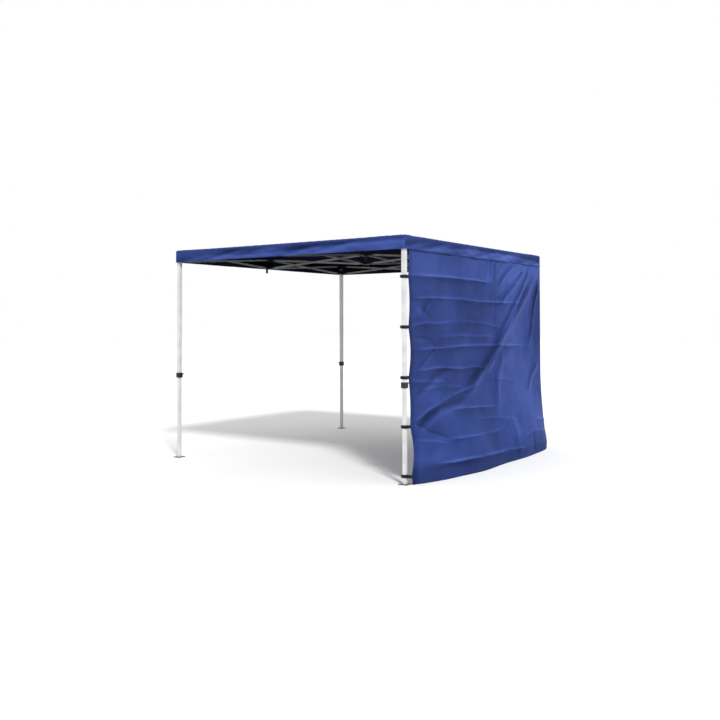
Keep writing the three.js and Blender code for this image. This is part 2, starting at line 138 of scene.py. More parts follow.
def bumped(material, height, strength, depth, *under):
    """Presses a value into a material's surface, over another bump where one is given."""
    bump = add_node(
        material, "ShaderNodeBump", [("Height", height), *under], Strength=strength, Distance=depth
    )
    link(material, bump.outputs["Normal"], "Normal")
    return bump


floor_paint = finish_of("floor_paint", (0.66, 0.66, 0.66), 0.95)
place_of = add_node(floor_paint, "ShaderNodeTexCoord")
mottled(floor_paint, place_of.outputs["Object"], 0.6, (0.65, 0.65, 0.65), (0.67, 0.67, 0.67))
FLOOR_HALF, FLOOR_DROP = 60, 0.0005
floor_mesh = bpy.data.meshes.new("studio_floor")
floor_corners = [(x * FLOOR_HALF, y * FLOOR_HALF, 0) for x, y in ((-1, -1), (1, -1), (1, 1), (-1, 1))]
floor_mesh.from_pydata(floor_corners, [], [(0, 1, 2, 3)])
floor_mesh.materials.append(floor_paint)
floor = placed("studio_floor", floor_mesh)
floor.location.z = -FLOOR_DROP

sky = bpy.data.worlds.new("sky")
sky.use_nodes = True
backdrop = sky.node_tree.nodes["Background"]
backdrop.inputs["Color"].default_value = (1, 1, 1, 1)
backdrop.inputs["Strength"].default_value = 1.0
bpy.context.scene.world = sky
lamp = bpy.data.lights.new("soft_lamp", "SUN")
lamp.energy = 3.7
lamp.angle = math.radians(9)
LAMP_TILT, LAMP_TURN = 50, 52
placed("soft_lamp", lamp).rotation_euler = (math.radians(LAMP_TILT), 0, math.radians(LAMP_TURN))


# The cover is one sheet of navy polyester, sewn to a square and pulled over the frame, with a short
# valance hanging all round. It is stretched from the post in the middle to the four leg tops, so it
# has four soft hips, and it sags a little between them. Each corner is doubled where it goes over a leg.
LEG_AXIS = 1.465
COVER_HALF = 1.5
EAVE = 2.25
RISE = 0.15
DROP = 0.125
CLOTH = 0.0013
EDGE_ROLL = 0.011
CORNER_ROUND = 0.028
VALANCE_WAVE = 0.0048
VALANCE_WAVES = 5
HEM = 0.018
BAND = 0.0008  # a second layer of cloth, sewn on
BAND_LIFT = 0.0022  # its top face, and so the stitches, over the roof's
BAND_RIM = 0.0010  # the same at its turned edge


def limited(v, least=-1.0):
    return min(1.0, max(least, v))


def smooth(t):
    """A soft step from 0 to 1 as t goes from 0 to 1."""
    t = limited(t, 0.0)
    return t * t * (3 - 2 * t)


def wave(turns, phase=0.0):
    return math.sin(math.tau * turns + phase)


def hump(v, middle, width):
    """A soft bump of height 1 round a middle."""
    return math.exp(-(((v - middle) / width) ** 2))


def soft_noise(x, y, scale, seed):
    """A smooth random value over a surface, from -1 to 1."""
    return noise.noise(Vector((x * scale, y * scale, seed)))


# Places here are taken from the middle of the four legs, which stands this far from the origin: the
# origin is at the middle of the footprint, and that takes in the foot of the side wall.
LEGS_AT = Vector((-0.121, 0, 0))


def new_mesh(name, points, edges, faces):
    """A mesh from points placed from the middle of the legs."""
    mesh = bpy.data.meshes.new(name)
    mesh.from_pydata([Vector(point) + LEGS_AT for point in points], edges, faces)
    return mesh


def new_piece(name, points, faces, material, uvs=None):
    """A mesh object from points and faces, smooth, with its flat pattern in metres as its UV map."""
    mesh = new_mesh(name, points, [], faces)
    mesh.materials.append(material)
    mesh.polygons.foreach_set("use_smooth", [True] * len(mesh.polygons))
    if uvs:
        layer = mesh.uv_layers.new(name="cut")
        layer.data.foreach_set("uv", [v for face in uvs for corner in face for v in corner])
    return placed(name, mesh)


def grid(columns, rows):
    """The faces of a sheet whose points are laid row by row."""
    starts = [j * (columns + 1) + i for j in range(rows) for i in range(columns)]
    return [(a, a + 1, a + columns + 2, a + columns + 1) for a in starts]


def flat(points, faces, axis=0):
    """The flat pattern of a sheet that lies along an axis and the next one."""
    return [[points[v][axis:axis + 2] for v in face] for face in faces]


def tone_by(piece, tones):
    """Stores how much paler or deeper the cloth is at each point: random shifts of colour and painted light
    and shade.
    """
    piece.data.attributes.new("tone", "FLOAT", "POINT").data.foreach_set("value", tones)
    return piece


def thicken(piece, thickness, offset=0.0, back_face=None):
    """Gives a sheet its thickness, and the face away from its front another material where one is given."""
    wall = piece.modifiers.new("thickness", "SOLIDIFY")
    wall.thickness, wall.offset = thickness, offset
    if back_face:
        piece.data.materials.append(back_face)
        wall.material_offset = 1
    return piece


def navy_cloth(name, dark, light, crumple, shine=0.06):
    """Woven polyester: a fine two-way weave, soft crumples and small shifts of colour. The tone attribute
    adds more shifts and the light and shade painted on folds: paler and a little glossy on ridges, deeper in
    hollows."""
    cloth = finish_of(name, light, 0.58, IOR=1.35)
    cut = add_node(cloth, "ShaderNodeUVMap", uv_map="cut")
    cloud = mottled(cloth, cut.outputs["UV"], 2.2, dark, light)
    # random shifts of colour, with painted highlights on ridges and painted shade in hollows
    tone_and_painted_light = add_node(cloth, "ShaderNodeAttribute", attribute_name="tone")
    gain = add_node(
        cloth, "ShaderNodeMapRange", [("Value", tone_and_painted_light.outputs["Fac"])],
        From_Min=-1, From_Max=1, To_Min=0.25, To_Max=1.75,
    )
    toned = add_node(
        cloth, "ShaderNodeVectorMath",
        [(0, cloud.outputs["Color"]), (1, gain.outputs["Result"])], operation="MULTIPLY",
    )
    link(cloth, toned.outputs["Vector"], "Base Color")
    gloss_by_tone = add_node(
        cloth, "ShaderNodeMapRange", [("Value", tone_and_painted_light.outputs["Fac"])],
        From_Min=0, From_Max=1, To_Min=shine, To_Max=5 * shine,
    )
    link(cloth, gloss_by_tone.outputs["Result"], "Specular IOR Level")
    threads = [
        add_node(
            cloth, "ShaderNodeTexWave", [("Vector", cut.outputs["UV"])],
            bands_direction=way, Scale=240, Distortion=0.4, Detail=1,
        )
        for way in ("X", "Y")
    ]
    weave = add_node(
        cloth, "ShaderNodeMath",
        [(0, threads[0].outputs["Fac"]), (1, threads[1].outputs["Fac"])], operation="MULTIPLY",
    )
    woven = bumped(cloth, weave.outputs[0], 0.25, 0.00025)
    folds = add_node(
        cloth, "ShaderNodeTexNoise", [("Vector", cut.outputs["UV"])],
        Scale=7.0, Detail=5, Roughness=0.52, Distortion=0.9,
    )
    bumped(cloth, folds.outputs["Fac"], crumple, 0.012, ("Normal", woven.outputs["Normal"]))
    return cloth


def corner_rounded(x, y, half):
    """A point on a square ring, moved in where the ring turns round a corner."""
    inner = half - CORNER_ROUND
    ex, ey = abs(x) - inner, abs(y) - inner
    if ex <= 0 or ey <= 0:
        return x, y
    drawn_in = max(ex, ey) / math.hypot(ex, ey)
    return math.copysign(inner + ex * drawn_in, x), math.copysign(inner + ey * drawn_in, y)


PACKED_FOLDS, PACKED_WIDE = (0.495, 0.99), 0.014


def packed(x, y):
    """How near a point is to the lines that the cover was folded on when it was packed, from 0 to 1."""
    lines = [hump(abs(v), line, PACKED_WIDE) for v in (x, y) for line in PACKED_FOLDS]
    faint = 0.6 + 0.8 * soft_noise(x, y, 1.3, 8.8)
    return min(1.0, sum(lines)) * faint * smooth((COVER_HALF - max(abs(x), abs(y))) / 0.2)


def roof_tone(x, y):
    """Soft random shifts of colour over the roof, and paler along the lines that it was folded on when
    packed.
    """
    return 0.30 * soft_noise(x, y, 1.7, 5.5) + 0.16 * soft_noise(x, y, 6, 2.5) + 0.28 * packed(x, y)


SLACK, DRAG, PUCKER, LUMP = 0.020, 0.0030, 0.0014, 0.0042
POST_CAP, POST_CAP_REACH, FOLD_RIDGE = 0.0036, 0.075, 0.0022


def roof_height(x, y):
    """Top face of the roof cloth: four slopes with soft hips, slack between them, and small wrinkles. It
    is dragged towards the corners, puckered along the eave and lifted by the middle post's cap."""
    ax, ay = abs(x) / COVER_HALF, abs(y) / COVER_HALF
    far, near = max(ax, ay), min(ax, ay)
    soft = 0.07 * (1 - far) + 0.004
    bend = 0.5 * (ax + ay + math.hypot(ax - ay, soft)) - soft * 0.5 * (near / max(far, 1e-6))
    slack = SLACK * math.sin(math.pi * min(1, far)) * (1 - (near / max(far, 1e-6)) ** 2)
    rho = math.hypot(abs(x) - COVER_HALF, abs(y) - COVER_HALF)
    phi = math.atan2(COVER_HALF - abs(y), COVER_HALF - abs(x))
    drag = DRAG * math.cos(15 * phi + 0.6 * math.copysign(1, x * y)) * hump(rho, 0.22, 0.16)
    along = y if ax > ay else x
    pucker = PUCKER * math.sin(along * 71 + 2.3 * math.sin(along * 9)) * math.exp(-(1 - far) / 0.03)
    pucker *= smooth((1 - far) / 0.012)
    lump = LUMP * soft_noise(x, y, 2.6, 3.1) * smooth((1 - far) / 0.25)
    cap = POST_CAP * hump(math.hypot(x, y), 0, POST_CAP_REACH) + FOLD_RIDGE * packed(x, y)
    return EAVE + RISE * (1 - bend) - slack + drag + pucker + lump + cap


def valance_out(side, along, deep):
    """How far out a point of the valance hangs; along runs from 0 to 1 and deep from the eave to the hem."""
    taper = wave(limited(along, 0.0) / 2) ** 0.5
    broad = math.cos(math.tau * (VALANCE_WAVES * along - 0.35 * deep) + side)
    drag = wave(2.3 * along + 0.75 * deep, 1.7 * side)
    fine = wave(12.3 * along - 1.3 * deep, side)
    depth = 0.8 * smooth(deep * 1.6) + 0.2 * deep
    tuck = -0.006 * hump(deep, 0.32, 0.17) * (0.6 + 0.4 * drag)
    swell = 0.005 * hump(deep, 0.72, 0.2) * (0.5 - 0.5 * drag)
    folds = depth * (VALANCE_WAVE * broad + 0.0032 * fine) + 0.0045 * drag * smooth(deep * 2.5)
    return taper * (folds + tuck + swell)


# rows down the sheet, from just inside the eave to the hem's lower edge: the half width there, how far
# below the eave, and the thickness that a seam or the hem adds
eave_rows = [
    (COVER_HALF - EDGE_ROLL * (1 - math.sin(a)), EDGE_ROLL * (1 - math.cos(a)), 0.0)
    for a in (math.radians(v) for v in (22, 45, 68, 90))
]
SEAM_DEEP, SEAM_LIFT = 0.014, 0.0009
plain = (0.0155, 0.024, 0.034, 0.045, 0.057, 0.069, 0.081, 0.093, DROP - HEM - 0.001)
valance_rows = [(COVER_HALF, drop, thick) for drop, thick in (
    (SEAM_DEEP, SEAM_LIFT), *((drop, 0.0) for drop in plain), (DROP - HEM, BAND_RIM),
    (DROP - HEM / 2, BAND_RIM), (DROP - 0.0015, 0.0008), (DROP, 0.0),
)]

# half of the sheet's columns, even over the roof and closer together near the eave
COARSE, CLOSE = 0.0225, 0.0075
steps = [v * COARSE for v in range(65)]
steps += [64 * COARSE + CLOSE * v for v in range(1, 7)]
INNER = steps[-1]
stations = [-v for v in reversed(steps[1:])] + steps
COUNT = len(stations) - 1
AROUND = 4 * COUNT


def on_roof(x, y, lift=0.0):
    """A point of the roof cloth's top face, or over it."""
    return x, y, roof_height(x, y) + lift


places = [corner_rounded(x, y, INNER) for y in stations for x in stations]
points, tones = [on_roof(x, y) for x, y in places], [roof_tone(x, y) for x, y in places]
faces = grid(COUNT, COUNT)
uvs = flat(points, faces)


def ring_place(p):
    """Side and step along it of the p-th point round the edge, starting at the front left corner."""
    return divmod(p % AROUND, COUNT)


def rim_index(p):
    side, step = ring_place(p)
    column, row = [(step, 0), (COUNT, step), (COUNT - step, COUNT), (0, COUNT - step)][side]
    return row * (COUNT + 1) + column


def depth_share(drop):
    return max(0.0, (drop - EDGE_ROLL) / (DROP - EDGE_ROLL))


def cover_rim(p, out, drop, thick):
    """A point of the eave or the valance: out is the half width there, drop is how far it is below the
    eave, and thick is a layer on top."""
    side, step = ring_place(p)
    deep = depth_share(drop)
    run = stations[step] / INNER
    along = (run + 1) / 2
    reach = out + (valance_out(side, along, deep) if deep > 0 else 0) + thick
    x, y = corner_rounded(run * out, -out, out)
    y -= reach - out
    angle = side * math.pi / 2
    inside = RISE * (1 - INNER / COVER_HALF)
    edge = roof_height(INNER * run, -INNER) - EAVE - inside
    z = EAVE + inside * max(0, 1 - drop / 0.02) + edge * max(0, 1 - drop / 0.03) - drop
    return x * math.cos(angle) - y * math.sin(angle), x * math.sin(angle) + y * math.cos(angle), z


def valance_tone(p, deep):
    """Light and shade painted on long slanting folds: pale on their upper sides and deep below, with a dark
    line over the hem.
    """
    side, step = ring_place(p)
    along = (stations[step] / INNER + 1) / 2
    fold = wave(2.3 * along + 0.75 * deep, 1.7 * side)
    small = wave(6.1 * along + 0.9 * deep, 2.2 * side + 1.4 * fold)
    line = 0.45 + 0.22 * wave(0.95 * along - 0.12, 1.9 * side)
    # painted shade over the valance's upper part, above a slanting line, and paler below it
    upper = -0.50 * math.tanh((line - deep) / 0.08) * smooth(along * 3)
    painted_fold_light = upper + 0.26 * fold + 0.30 * small * smooth(deep * 3)
    # painted shade: a dark line over the hem, deepest on the right side
    tuck = -0.60 * hump(deep, 0.80, 0.030) * (1.0 if side == 1 else 0.4)
    return limited((painted_fold_light + tuck) * smooth(deep * 6) - 0.03)


before = [rim_index(p) for p in range(AROUND)]
down = 0.0
for out, drop, thick in eave_rows + valance_rows:
    row = range(len(points), len(points) + AROUND)
    points += [cover_rim(p, out, drop, thick) for p in range(AROUND)]
    deep = depth_share(drop)
    tones += [valance_tone(p, deep) if deep > 0 else 0.0 for p in range(AROUND)]
    for p in range(AROUND):
        q = (p + 1) % AROUND
        faces.append((before[p], row[p], row[q], before[q]))
        s, t = p / COUNT * 2 * COVER_HALF, (p + 1) / COUNT * 2 * COVER_HALF
        uvs.append([(s, 2 + down), (s, 2 + drop), (t, 2 + drop), (t, 2 + down)])
    before, down = row, drop

navy = navy_cloth("navy_cover_cloth", (0.018, 0.033, 0.132), (0.024, 0.043, 0.165), 0.5)
# The roof's underside is a near-black copy of the cover cloth: painted shade, for the shade under the roof.
underside_shade = navy_cloth("cover_underside_painted_shade", (0.005, 0.005, 0.013), (0.008, 0.008, 0.018), 0.2, 0.0)
cover = tone_by(new_piece("cover_cloth", points, faces, navy, uvs), tones)
cover_pieces = [thicken(cover, CLOTH, back_face=underside_shade)]


def sideways(path):
    """Each point of a path in plan, with the way to its left."""
    for k, (x, y) in enumerate(path):
        (x0, y0), (x1, y1) = path[max(0, k - 1)], path[min(len(path) - 1, k + 1)]
        long = math.hypot(x1 - x0, y1 - y0)
        yield x, y, -(y1 - y0) / long, (x1 - x0) / long


def sewn_on(name, made, squares):
    """A second layer of the cover's cloth, lying on its roof."""
    return thicken(new_piece(name, made, squares, navy, flat(made, squares)), BAND, 1)


# a doubled seam down each hip, whose edges lie lower than its middle
HIP_START, HIP_END, HIP_COUNT = 0.05, 1.452, 99
HIP_WIDE, HIP_LIFT = 0.022, 0.0012
hips = {"left_front": (-1, -1), "left_back": (-1, 1), "right_front": (1, -1), "right_back": (1, 1)}
reaches = [HIP_START + (HIP_END - HIP_START) * k / HIP_COUNT for k in range(HIP_COUNT + 1)]
hip_paths = [[(sx * reach, sy * reach) for reach in reaches] for sx, sy in hips.values()]
for name, path in zip(hips, hip_paths):
    made = [
        on_roof(x + left_x * off * HIP_WIDE, y + left_y * off * HIP_WIDE, lift * HIP_LIFT)
        for x, y, left_x, left_y in sideways(path)
        for off, lift in ((-1 / 2, 0.2), (-1 / 6, 1), (1 / 6, 1), (1 / 2, 0.2))
    ]
    squares = [(a, d, c, b) for a, b, c, d in grid(3, len(path) - 1)]
    cover_pieces.append(sewn_on(f"cover_hip_seam_{name}", made, squares))

# a round patch at the middle, where the post bears, and a square one folded over each corner
PEAK_PATCH = 0.11
patch_rings, patch_steps = 8, 48


def circle(reach, count):
    """Places in plan, spaced evenly round the middle post."""
    turns = [math.tau * k / count for k in range(count)]
    return [(reach * math.cos(turn), reach * math.sin(turn)) for turn in turns]


made = [on_roof(0, 0, BAND_LIFT)]
for k in range(1, patch_rings + 1):
    lift = BAND_LIFT if k < patch_rings else BAND_RIM
    made += [on_roof(x, y, lift) for x, y in circle(PEAK_PATCH * k / patch_rings, patch_steps)]
wheel = [(0, 1 + s, 1 + (s + 1) % patch_steps) for s in range(patch_steps)]
for k in range(patch_rings - 1):
    for s in range(patch_steps):
        a, b = 1 + k * patch_steps + s, 1 + k * patch_steps + (s + 1) % patch_steps
        wheel.append((a, a + patch_steps, b + patch_steps, b))
cover_pieces.append(sewn_on("cover_peak_patch", made, wheel))

PATCH_INSET, PATCH_LONG, PATCH_COUNT, PATCH_LIFT, PATCH_CUT = 0.014, 0.13, 12, 0.0019, 1.35
for name, (sx, sy) in hips.items():
    made = []
    for j in range(PATCH_COUNT + 1):
        for i in range(PATCH_COUNT + 1):
            # the inner edge of the patch is cut off across the hip
            cut = max(0.0, (i + j) / PATCH_COUNT - PATCH_CUT) * 0.5 * PATCH_LONG
            x, y = (COVER_HALF - PATCH_INSET - PATCH_LONG * v / PATCH_COUNT + cut for v in (i, j))
            x, y = corner_rounded(x, y, INNER)
            at_rim = i in (0, PATCH_COUNT) or j in (0, PATCH_COUNT)
            made.append(on_roof(x * sx, y * sy, BAND_RIM if at_rim else PATCH_LIFT))
    squares = grid(PATCH_COUNT, PATCH_COUNT)
    if sx * sy < 0:
        squares = [face[::-1] for face in squares]
    cover_pieces.append(sewn_on(f"cover_corner_patch_{name}", made, squares))


def bead_tree(name, sizes, shape, radius, scales, material):
    """Geometry nodes that set a bead on each point, with its sizes as inputs. The points and the way
    that a bead looks are joined to the returned nodes by the rule that uses it."""
    tree = bpy.data.node_groups.new(name, "GeometryNodeTree")
    tree.interface.new_socket("Geometry", in_out="INPUT", socket_type="NodeSocketGeometry")
    for size, value in sizes.items():
        tree.interface.new_socket(size, in_out="INPUT", socket_type="NodeSocketFloat").default_value = value
    tree.interface.new_socket("Geometry", in_out="OUTPUT", socket_type="NodeSocketGeometry")
    given, out, bead, scale, aim, laid, real, painted = (tree.nodes.new(kind) for kind in (
        "NodeGroupInput", "NodeGroupOutput", "GeometryNodeMeshUVSphere", "ShaderNodeCombineXYZ",
        "FunctionNodeAlignRotationToVector", "GeometryNodeInstanceOnPoints", "GeometryNodeRealizeInstances",
        "GeometryNodeSetMaterial",
    ))
    bead.inputs["Segments"].default_value, bead.inputs["Rings"].default_value = shape
    bead.inputs["Radius"].default_value = radius
    aim.axis = "Z"
    painted.inputs["Material"].default_value = material
    for axis, size in zip("XYZ", scales):
        tree.links.new(given.outputs[size], scale.inputs[axis])
    for source, result, target, socket in (
        (bead, "Mesh", laid, "Instance"), (aim, "Rotation", laid, "Rotation"),
        (scale, "Vector", laid, "Scale"), (laid, "Instances", real, "Geometry"),
        (real, "Geometry", painted, "Geometry"), (painted, "Geometry", out, "Geometry"),
    ):
        tree.links.new(source.outputs[result], target.inputs[socket])
    return tree, given, aim, laid


def stitch_tree(thread):
    """Geometry nodes that lay short stitches along lines: a fixed spacing, and one bead for each."""
    tree, given, aim, laid = bead_tree(
        "stitches", {"Spacing": 0.0105, "Length": 0.0066, "Width": 0.0011}, (6, 4), 0.5,
        ("Width", "Width", "Length"), thread,
    )
    new, join = tree.nodes.new, tree.links.new
    curve, spaced = new("GeometryNodeMeshToCurve"), new("GeometryNodeResampleCurve")
    spaced.mode = "LENGTH"
    join(given.outputs["Geometry"], curve.inputs["Mesh"])
    join(curve.outputs["Curve"], spaced.inputs["Curve"])
    join(given.outputs["Spacing"], spaced.inputs["Length"])
    join(spaced.outputs["Curve"], laid.inputs["Points"])
    join(new("GeometryNodeInputTangent").outputs["Tangent"], aim.inputs["Vector"])
    return tree


def run_tree(piece, tree):
    """Puts a tree on a piece and turns what it makes into the piece's plain mesh."""
    piece.modifiers.new("made_by_rule", "NODES").node_group = tree
    bpy.context.view_layer.update()
    result = piece.evaluated_get(bpy.context.evaluated_depsgraph_get())
    mesh = bpy.data.meshes.new_from_object(result)
    mesh.polygons.foreach_set("use_smooth", [True] * len(mesh.polygons))
    piece.modifiers.clear()
    piece.data = mesh
    return piece


def stitched(name, lines):
    """One piece with the stitches of several lines."""
    joints, edges = [], []
    for line in lines:
        edges += [(len(joints) + k, len(joints) + k + 1) for k in range(len(line) - 1)]
        joints += line
    return run_tree(placed(name, new_mesh(name, joints, edges, [])), navy_stitches)


thread = finish_of("navy_thread", (0.045, 0.072, 0.30), 0.6, Specular_IOR_Level=0.1)
twist = add_node(thread, "ShaderNodeTexCoord")
strands = add_node(thread, "ShaderNodeTexNoise", [("Vector", twist.outputs["Object"])], Scale=900)
bumped(thread, strands.outputs["Fac"], 0.4, 0.0003)
mottled(thread, twist.outputs["Object"], 60, (0.016, 0.030, 0.130), (0.026, 0.046, 0.185))
navy_stitches = stitch_tree(thread)

# two lines down each hip between the patches, two round the peak patch, one under the eave, two at the hem
HIP_STITCH = 0.0062
lines = [
    [on_roof(x + left_x * off, y + left_y * off, BAND_LIFT) for x, y, left_x, left_y in sideways(path[5:-6])]
    for path in hip_paths for off in (-HIP_STITCH, HIP_STITCH)
]
rounds = [[on_roof(x, y, 0.0032) for x, y in circle(PEAK_PATCH - inset, 72)] for inset in (0.008, 0.014)]
for drop, thick in ((SEAM_DEEP + 0.004, SEAM_LIFT), (DROP - HEM + 0.003, 0.0019), (DROP - 0.005, 0.0019)):
    rounds.append([cover_rim(p, COVER_HALF, drop, thick) for p in range(AROUND)])
cover_pieces.append(stitched("cover_stitches", lines + [[*ring, ring[0]] for ring in rounds]))


def share(v):
    return limited(v / LEG_AXIS)


def soft_part(piece, shares, node, body):
    """Lets a piece of the cloth follow several bodies of the frame at once, where shares gives each body's
    part at a point. Also hides the node that it stands for and ties it to the body that it rides on."""
    groups = {}
    for index, vertex in enumerate(piece.data.vertices):
        for puller, part in shares(vertex.co - LEGS_AT).items():
            if part > 0:
                groups.setdefault(puller, {}).setdefault(round(part, 3), []).append(index)
    for puller, parts in groups.items():
        group = piece.vertex_groups.new(name=puller)
        for part, members in parts.items():
            group.add(members, part, "REPLACE")
        hook = piece.modifiers.new("with_" + puller, "HOOK")
        hook.object = frame["bodies"][puller]
        hook.vertex_group = puller
        hook.falloff_type = "NONE"
        piece.modifiers.move(len(piece.modifiers) - 1, 0)
    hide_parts(node)
    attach(piece, body)


CAP_RIM, CAP_REACH, CLOSED = 0.045, 0.5, 0.28


def four_legs(co):
    """A roof point's parts: nearer legs pull it more, so the cloth closes up evenly as the frame folds.
    Over the cap of the middle post it stays with the hub, and that fades out with the way from it."""
    away = math.hypot(co.x, co.y)
    closed = CAP_RIM + (away - CAP_RIM) * (CLOSED * CAP_REACH - CAP_RIM) / (CAP_REACH - CAP_RIM)
    capped = 1.0 if away < CAP_RIM else max(0.0, (closed / away - CLOSED) / (1 - CLOSED))
    across, along = (1 + share(co.x)) / 2, (1 + share(co.y)) / 2
    return {
        "roof_hub": capped,
        "leg_front_left": (1 - across) * (1 - along) * (1 - capped),
        "leg_front_right": across * (1 - along) * (1 - capped),
        "leg_back_right": across * along * (1 - capped),
        "leg_back_left": (1 - across) * along * (1 - capped),
    }


for piece in cover_pieces:
    soft_part(piece, four_legs, "cover", "roof_hub")


# The side wall is one width of the same polyester with a seam down it, hemmed all round. It is hung
# from the valance, lies outside the back leg and is strapped to both legs of the right side. It keeps
# the creases it was packed with, and its foot spreads outwards on the ground.
WALL_OUT = 0.0266  # its middle, from the legs' axes
WALL_X = LEG_AXIS + WALL_OUT
WALL_FRONT, WALL_BACK = -1.44, 1.493
WALL_TOP, WALL_FOOT = 2.195, 0.0035
STRAP_MIDDLES = (0.074, 0.5175, 0.961, 1.4185, 1.876)
SCALLOPS = (0.018, 0.030, 0.022, 0.034, 0.020, 0.012)  # how deep the front edge goes in between them
# Creases seen from outside, by the points they run through: along the wall and up, one after the other.
# A crisp one is a narrow ridge over a groove, where the cloth was folded away, and gives its strength
# after its points, which sets its depth and the light and shade painted on it. A broad one is a swell of
# the hanging cloth, and gives its depth, its width and how much light and shade is painted on it.
CRISP = [
    ((-1.4, 1.89, -1.07, 1.9, -0.65, 1.9, -0.12, 1.89, 0.21, 1.88), 1.0), ((0.15, 2.12, 0.13, 1.92), -0.9),
    ((0.27, 2.12, 0.23, 1.91), 0.9),
    ((-1.4, 1.68, -1.08, 1.69, -0.69, 1.69, -0.12, 1.68, 0.19, 1.67, 0.94, 1.68), 1.0),
    ((-1.17, 1.55, -1.04, 1.67), -0.7), ((-1.38, 1.33, -1.08, 1.3, -0.95, 1.22), -0.4),
    ((-1.39, 1.42, -1.14, 1.45, -0.76, 1.45, -0.45, 1.46, 0.03, 1.45, 0.43, 1.41), 0.8),
    ((-0.46, 1.48, -0.43, 1.38), 0.7), ((0.36, 1.47, 0.37, 1.31), 0.7),
    ((-0.95, 1.32, -0.45, 1.32, 0.35, 1.3), 0.5), ((-0.72, 0.62, -0.35, 0.6, 0.24, 0.56), 0.8),
    ((-1.31, 1.21, -0.95, 1.21, -0.45, 1.22, 0.31, 1.21, 1.07, 1.19), 1.0),
    ((-1.28, 1.02, -0.92, 1.02, -0.49, 1.0, 0.01, 0.99), 1.1), ((-1.25, 1.04, -0.96, 1.2), -0.7),
    ((-1.4, 0.92, -1.14, 0.91, -0.76, 0.87), 0.7), ((-1.24, 0.84, -0.86, 0.84, -0.46, 0.82), 0.5),
    ((-1.39, 0.55, -1.08, 0.65, -0.67, 0.75, -0.17, 0.82), 1.0),
    ((-0.92, 0.35, -0.53, 0.34, 0.16, 0.33), 1.0), ((-1.38, 0.54, -1.13, 0.43, -0.88, 0.35), -0.6),
    ((-1.24, 0.16, -0.61, 0.15, -0.01, 0.13, 0.55, 0.11), 1.4), ((1.04, 0.36, 1.42, 0.32), 0.9),
    ((-1.42, 0.4, -1.2, 0.36, -0.97, 0.32), 0.6), ((0.3, 0.86, 0.76, 0.8), 0.4),
    ((-0.35, 0.49, 0.09, 0.46, 0.56, 0.4), 0.4), ((0.58, 0.22, 0.86, 0.24, 1.23, 0.22), 0.5),
    ((1.36, 2.06, 0.95, 1.8, 0.49, 1.27, 0.16, 1.06, -0.18, 0.79), 0.7),
    ((1.43, 2.03, 1.21, 1.81, 1.11, 1.49), 0.8), ((1.03, 2.09, 0.71, 1.93, 0.33, 1.73), 0.6),
    ((0.54, 2.07, 0.33, 1.91), 0.5), ((1.46, 1.6, 1.2, 1.02, 1.05, 0.63), 0.6),
]
BROAD = [
    ((1.46, 2.1, 0.87, 1.62, 0.44, 1.29, 0.24, 1.11, -0.22, 0.82, -0.54, 0.72), 0.034, 0.07, 1.0),
    ((1.06, 2.1, 0.7, 1.82, 0.35, 1.61), 0.018, 0.034, 0.9), ((0.79, 2.1, 0.33, 1.83), 0.015, 0.032, 0.8),
    ((1.46, 2.0, 1.28, 1.57, 1.14, 1.12), 0.018, 0.034, 1.0), ((1.42, 1.0, 1.04, 0.63), 0.012, 0.04, 0.7),
    ((1.26, 2.1, 0.98, 1.86, 0.72, 1.62, 0.3, 1.26), 0.016, 0.028, 0.9),
    ((0.51, 1.13, 0.34, 0.82, 0.21, 0.47), 0.009, 0.06, 0.5), ((1.3, 0.02, 1.2, 0.3), 0.01, 0.05, 0.4),
    ((0.35, 0.02, 0.42, 0.3, 0.45, 0.5), 0.009, 0.055, 0.3), ((0.75, 0.02, 0.82, 0.24), -0.009, 0.05, -0.3),
    ((-1.3, 1.62, -1.05, 1.48), 0.008, 0.03, 0.5), ((-1.38, 0.75, -1.0, 0.92, -0.6, 1.0), 0.01, 0.045, 0.5),
    ((-1.38, 0.45, -0.95, 0.62, -0.3, 0.7), 0.012, 0.045, 0.7),
]


def nearest(path, y, z):
    """Signed distance from a path to a point, upwards being positive, and its share along the path."""
    least, above, at = math.inf, 1.0, 0.0
    points = list(zip(path[::2], path[1::2]))
    for k, ((y0, z0), (y1, z1)) in enumerate(zip(points, points[1:])):
        dy, dz = y1 - y0, z1 - z0
        t = limited(((y - y0) * dy + (z - z0) * dz) / (dy * dy + dz * dz), 0.0)
        away = math.hypot(y - y0 - t * dy, z - z0 - t * dz)
        if away < least:
            least, at = away, (k + t) / (len(points) - 1)
            above = math.copysign(1, (z - z0) * abs(dy) - (y - y0) * dz * math.copysign(1, dy))
    return least * above, at


CREASE_DEEP, CREASE_STEEP, CREASE_LONG = 0.013, 0.016, 0.075


